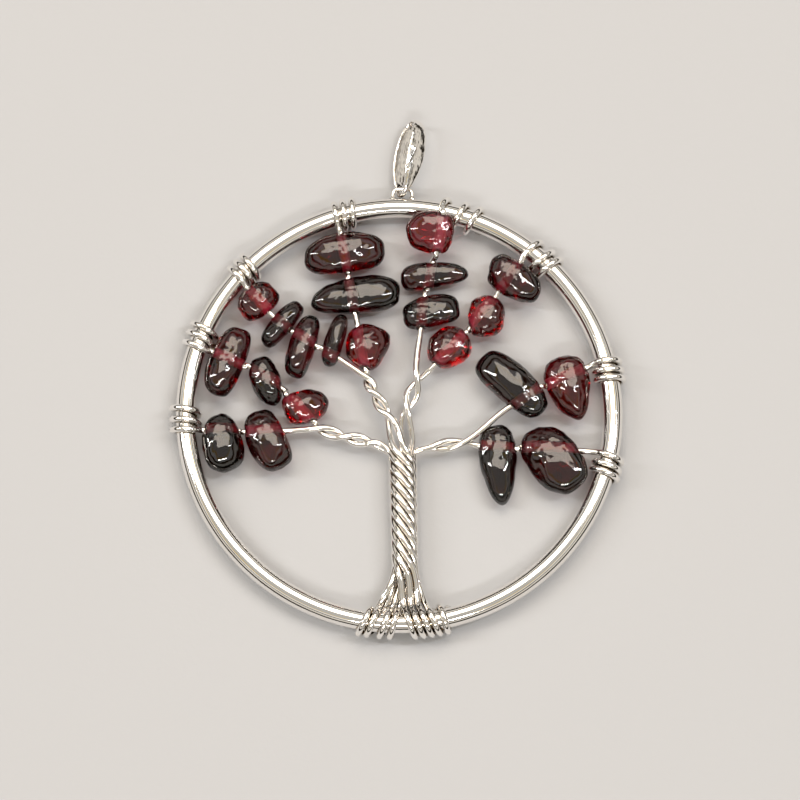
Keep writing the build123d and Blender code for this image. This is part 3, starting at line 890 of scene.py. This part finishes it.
def holeRun(form):
    level, hole = form["level"], form["hole"]
    steps = stone["mouthSteps"]
    rimPoints = mouthRim(form, drillR, steps)[0]
    back = surfaceAlong(rimPoints, np.tile(-hole, (steps, 1)), form).max() + stone["mouthRun"]
    front = surfaceAlong(rimPoints, np.tile(hole, (steps, 1)), form).max() + stone["mouthRun"]
    count = max(3, int(round((back + front) / wire["step"])))
    return level - back * hole + np.outer(np.linspace(0, 1, count + 1), (back + front) * hole)


def footPlaces():
    # the four strands in front of the trunk's foot come over the hoop, the others go behind it
    ends = {name: trunkRun(name)[0] for name in wireNames}
    order = sorted(wireNames, key=lambda name: ends[name][2])
    half = len(order) // 2
    places = {}
    for side, group in (("behind", order[:half]), ("before", order[half:])):
        group = sorted(group, key=lambda name: ends[name][0])
        for name, row in zip(group, foot[side]):
            places[name] = footRun(side, row)
    return places


def firstPaths():
    feet = footPlaces()
    strandOf = {}
    for branch in branches.values():
        strandOf[branch["over"]] = branchRun(branch, True)
        strandOf[branch["under"]] = branchRun(branch, False)
    paths = {}
    for name in wireNames:
        holes = [holeRun(form) for form in stonesOf(name)]
        runs = [feet[name], trunkRun(name), strandOf[name], *holes, rimRun(name)]
        heldRuns = [False] * 3 + [True] * len(holes) + [False]
        points, held = [runs[0]], [np.zeros(len(runs[0]), bool)]
        for before, after, fixed in zip(runs, runs[1:], heldRuns[1:]):
            link = bridge(before, after)
            points += [link, after]
            held += [np.zeros(len(link), bool), np.full(len(after), fixed)]
        paths[name] = (np.vstack(points), np.concatenate(held))
    return paths


def offHoop(points, held):
    flat = np.linalg.norm(points[:, :2], axis=1)
    centre = np.column_stack([points[:, :2] / flat[:, None] * ringR, np.zeros(len(points))])
    step = points - centre
    gap = np.linalg.norm(step, axis=1)
    inside = (gap < coilR) & ~held
    points = points.copy()
    points[inside] = centre[inside] + step[inside] * (coilR / gap[inside])[:, None]
    return points


def easedPaths():
    # wires are pushed apart to their gap and off the rod, each push spread along its wire
    paths = firstPaths()
    points = np.vstack([paths[name][0] for name in wireNames])
    held = np.concatenate([paths[name][1] for name in wireNames])
    owner = np.concatenate([np.full(len(paths[name][0]), i) for i, name in enumerate(wireNames)])
    place = np.concatenate([np.arange(len(paths[name][0])) for name in wireNames])
    inner = np.flatnonzero((owner[1:-1] == owner[:-2]) & (owner[1:-1] == owner[2:])) + 1
    inner = inner[~held[inner]]
    first = points.copy()
    square = (points**2).sum(axis=1)
    reach = wirePitch * wire["easeReach"]
    near = square[:, None] + square[None, :] - 2 * points @ points.T < reach**2
    apart = abs(place[:, None] - place[None, :]) > wire["easeSkip"]
    apart |= owner[:, None] != owner[None, :]
    left, right = np.nonzero(np.triu(near & apart, 1))
    for _ in range(wire["easeRounds"]):
        step = points[left] - points[right]
        gap = np.linalg.norm(step, axis=1)
        close = gap < wirePitch
        push = step[close] * ((wirePitch - gap[close]) / np.maximum(gap[close], 1e-9) / 2)[:, None]
        moved = np.zeros_like(points)
        np.add.at(moved, left[close], push)
        np.add.at(moved, right[close], -push)
        moved[held] = 0
        points = points + moved * wire["easePush"]
        shift = points - first
        shift[inner] += wire["easeSpread"] * ((shift[inner - 1] + shift[inner + 1]) / 2 - shift[inner])
        points = offHoop(first + shift, held)
    cuts = np.cumsum([len(paths[name][0]) for name in wireNames])[:-1]
    return dict(zip(wireNames, zip(np.split(points, cuts), np.split(held, cuts))))


def finePath(points, held):
    # soft wire has no sharp kinks: they are eased out, and the path gets steps finer than its bends
    points = points.copy()
    for _ in range(wire["softening"]):
        bent = points[:-2] - 2 * points[1:-1] + points[2:]
        softer = points[1:-1] + wire["softShare"] * bent
        points[1:-1] = np.where(held[1:-1, None], points[1:-1], softer)
        points = offHoop(points, held)
    steps = (len(points) - 1) * wire["stepsPerPoint"]
    return [rounded(points, share)[0] for share in np.linspace(0, len(points) - 1, steps + 1)]


def makeWires():
    for name, (points, held) in easedPaths().items():
        shape = tube(finePath(points, held), wireR, wire["sides"])
        makePiece(name.replace("wire_", "strand_"), *shape, wireFinish, "wire_metal", "pendant", name)


makeWires()
print("wires made")


# The colour of each stone, in the order in which its wire meets them.
garnetKinds = {
    "wire_left_low": ["wine", "dark"],
    "wire_left_high": ["rose", "dark", "wine"],
    "wire_upper_left": ["dark", "wine", "dark", "rose"],
    "wire_top_left": ["rose", "dark", "wine"],
    "wire_top": ["dark", "dark", "rose"],
    "wire_upper_right": ["rose", "rose", "wine"],
    "wire_right_high": ["dark", "rose"],
    "wire_right_low": ["dark", "wine"],
}


def unevenness(ray, number):
    # tumbled stone is lumpy all over, with smaller dimples
    seed = Vector((number, 0, 0))
    lumps = noise.noise(Vector(ray * stone["lumpScale"]) + seed) - stone["lumpLevel"]
    dimples = noise.noise(Vector(ray * stone["dimpleScale"]) + 2 * seed) - stone["dimpleLevel"]
    return stone["lumps"] * lumps + stone["dimples"] * dimples


# Stones: rings from mouth to mouth round the drill hole, and back through the hole.
def makeStone(number, form, finish):
    level, hole = form["level"], form["hole"]
    around, bands, wallSteps = stone["around"], stone["bands"], stone["wallSteps"]
    rimPoints, outward = mouthRim(form, drillR, around)
    back = surfaceAlong(rimPoints, np.tile(-hole, (around, 1)), form)
    front = surfaceAlong(rimPoints, np.tile(hole, (around, 1)), form)
    low, high = np.arctan2(drillR, -back), np.arctan2(drillR, front)
    rings = [rimPoints - (back - stone["mouthRound"])[:, None] * hole]
    for share in np.linspace(0.0, 1.0, bands + 2)[1:-1]:
        polar = low + share * (high - low)
        rays = np.cos(polar)[:, None] * hole + np.sin(polar)[:, None] * outward
        reach = surfaceAlong(np.tile(level, (around, 1)), rays, form)
        fade = min(1.0, stone["mouthFade"] * share, stone["mouthFade"] * (1 - share))
        uneven = np.array([unevenness(ray, number) for ray in rays])
        reach = reach * (1 + fade * uneven)
        rings.append(level + reach[:, None] * rays)
    rings.append(rimPoints + (front - stone["mouthRound"])[:, None] * hole)
    for share in np.linspace(0, 1, wallSteps + 2)[1:-1]:
        rings.append(rings[bands + 1] + share * (rings[0] - rings[bands + 1]))
    points = np.vstack(rings)
    faces = bandFaces(len(rings), around, True)
    piece = makePiece(
        f"garnetChip_{number}", points, faces, None, finish, "stone", "pendant", f"chip_{number}"
    )
    drilled = piece.data.attributes.new("drilled", "FLOAT", "POINT")
    values = [0.0] * (around * (bands + 2)) + [1.0] * (around * wallSteps)
    drilled.data.foreach_set("value", values)


def makeStones():
    number = 1
    for name in wireNames:
        for form, kind in zip(stonesOf(name), garnetKinds[name]):
            makeStone(number, form, garnetFinishes[kind])
            number += 1


makeStones()
print("stones made")


# A plain pale table, a soft room and the camera nearly overhead.
room = {
    "floorSize": 3.0,
    "floorColour": (0.47, 0.47, 0.48, 1.0),
    "floorRoughness": 0.75,
    "grainScale": 1400.0,
    "grainDetail": 3.0,
    "grainDepth": 0.05 * mm,
    "grainStrength": 0.4,
    "zenith": (0.85, 0.82, 0.76),
    "upper": (1.35, 1.32, 1.27),
    "line": (0.07, 0.05, 0.015),
    "glow": (1.00, 0.68, 0.14),
    "side": (1.22, 1.14, 1.02),
    "horizon": (0.03, 0.022, 0.014),
    "brightness": 0.57,
    # the tones by height, from the level of the table to overhead
    "sky": [
        (0.0, "horizon"), (0.26, "horizon"),
        (0.30, "side"), (0.53, "side"),
        (0.55, "line"), (0.63, "line"),
        (0.65, "upper"), (0.78, "upper"),
        (0.80, "glow"), (0.835, "glow"),
        (0.855, "zenith"),
    ],
}


def makeFloor():
    half = room["floorSize"] / 2
    mesh = bpy.data.meshes.new("table")
    corners = [(-half, -half, 0), (half, -half, 0), (half, half, 0), (-half, half, 0)]
    mesh.from_pydata(corners, [], [(0, 1, 2, 3)])
    finish = Finish(bpy.data.materials.new("paleTable"))
    place = finish.node("ShaderNodeTexCoord").outputs["Object"]
    grain = finish.noise(place, room["grainScale"], room["grainDetail"])
    finish.node("ShaderNodeOutputMaterial", None, {
        "Surface": finish.node("ShaderNodeBsdfPrincipled", None, {
            "Base Color": room["floorColour"],
            "Roughness": room["floorRoughness"],
            "Normal": finish.bump(grain, room["grainDepth"], room["grainStrength"]),
        }).outputs["BSDF"],
    })
    mesh.materials.append(finish.owner)
    floor = bpy.data.objects.new("table", mesh)
    bpy.context.scene.collection.objects.link(floor)


def makeWorld():
    world = bpy.data.worlds.new("softRoom")
    bpy.context.scene.world = world
    finish = Finish(world)
    direction = finish.node("ShaderNodeTexCoord").outputs["Generated"]
    rise = finish.node("ShaderNodeSeparateXYZ", None, {"Vector": direction}).outputs["Z"]
    stops = [(place, room[tone]) for place, tone in room["sky"]]
    sky = finish.node("ShaderNodeValToRGB", {"stops": stops}, {"Fac": rise}).outputs["Color"]
    sockets = {"Color": sky, "Strength": room["brightness"]}
    background = finish.node("ShaderNodeBackground", None, sockets)
    finish.node("ShaderNodeOutputWorld", None, {"Surface": background.outputs["Background"]})


lamps = {
    "northSoftbox": {"azimuth": 90, "height": 66, "away": 0.9, "size": (0.74, 0.54), "power": 4.4,
                     "colour": (1.0, 0.90, 0.78)},
    "leftWindow": {"azimuth": 172, "height": 42, "away": 0.9, "size": (0.07, 0.46), "power": 2.4,
                   "colour": (1.0, 0.99, 0.98)},
    "rightWindow": {"azimuth": 12, "height": 56, "away": 0.9, "size": (0.06, 0.42), "power": 2.0,
                    "colour": (0.97, 0.98, 1.0)},
    "nearWindow": {"azimuth": -84, "height": 50, "away": 0.9, "size": (0.46, 0.06), "power": 2.0,
                   "colour": (1.0, 0.98, 0.95)},
}


def makeLamps():
    for name, lamp in lamps.items():
        light = bpy.data.lights.new(name, "AREA")
        light.shape = "RECTANGLE"
        light.size, light.size_y = lamp["size"]
        light.energy = lamp["power"]
        light.color = lamp["colour"]
        azimuth, height = math.radians(lamp["azimuth"]), math.radians(lamp["height"])
        out = Vector(math.cos(height) * radial(azimuth) + [0, 0, math.sin(height)])
        holder = bpy.data.objects.new(name, light)
        holder.location = Vector(hoopCentre) + out * lamp["away"]
        holder.rotation_euler = (-out).to_track_quat("-Z", "Y").to_euler()
        bpy.context.scene.collection.objects.link(holder)


# The hoop's middle stands at this pixel of the 800 pixel frame.
camera = {
    "tilt": 13.5,
    "away": 400 * mm,
    "frameWidth": 89.55 * mm,
    "sensor": 36.0,
    "pixels": 800,
    "hoopPixel": (399.3, 412.9),
    "clip": (0.01, 10.0),
}


def makeCamera():
    data = bpy.data.cameras.new("camera")
    data.sensor_width = camera["sensor"]
    data.lens = camera["sensor"] * camera["away"] / camera["frameWidth"]
    data.shift_x = 0.5 - camera["hoopPixel"][0] / camera["pixels"]
    data.shift_y = camera["hoopPixel"][1] / camera["pixels"] - 0.5
    data.clip_start, data.clip_end = camera["clip"]
    tilt = math.radians(camera["tilt"])
    back = Vector((0, -math.sin(tilt), math.cos(tilt)))
    holder = bpy.data.objects.new("camera", data)
    holder.location = Vector(hoopCentre) + back * camera["away"]
    holder.rotation_euler = (-back).to_track_quat("-Z", "Y").to_euler()
    bpy.context.scene.collection.objects.link(holder)
    bpy.context.scene.camera = holder


makeFloor()
makeWorld()
makeLamps()
makeCamera()
bpy.context.scene.view_settings.view_transform = "Standard"
print("room, lamps and camera made")
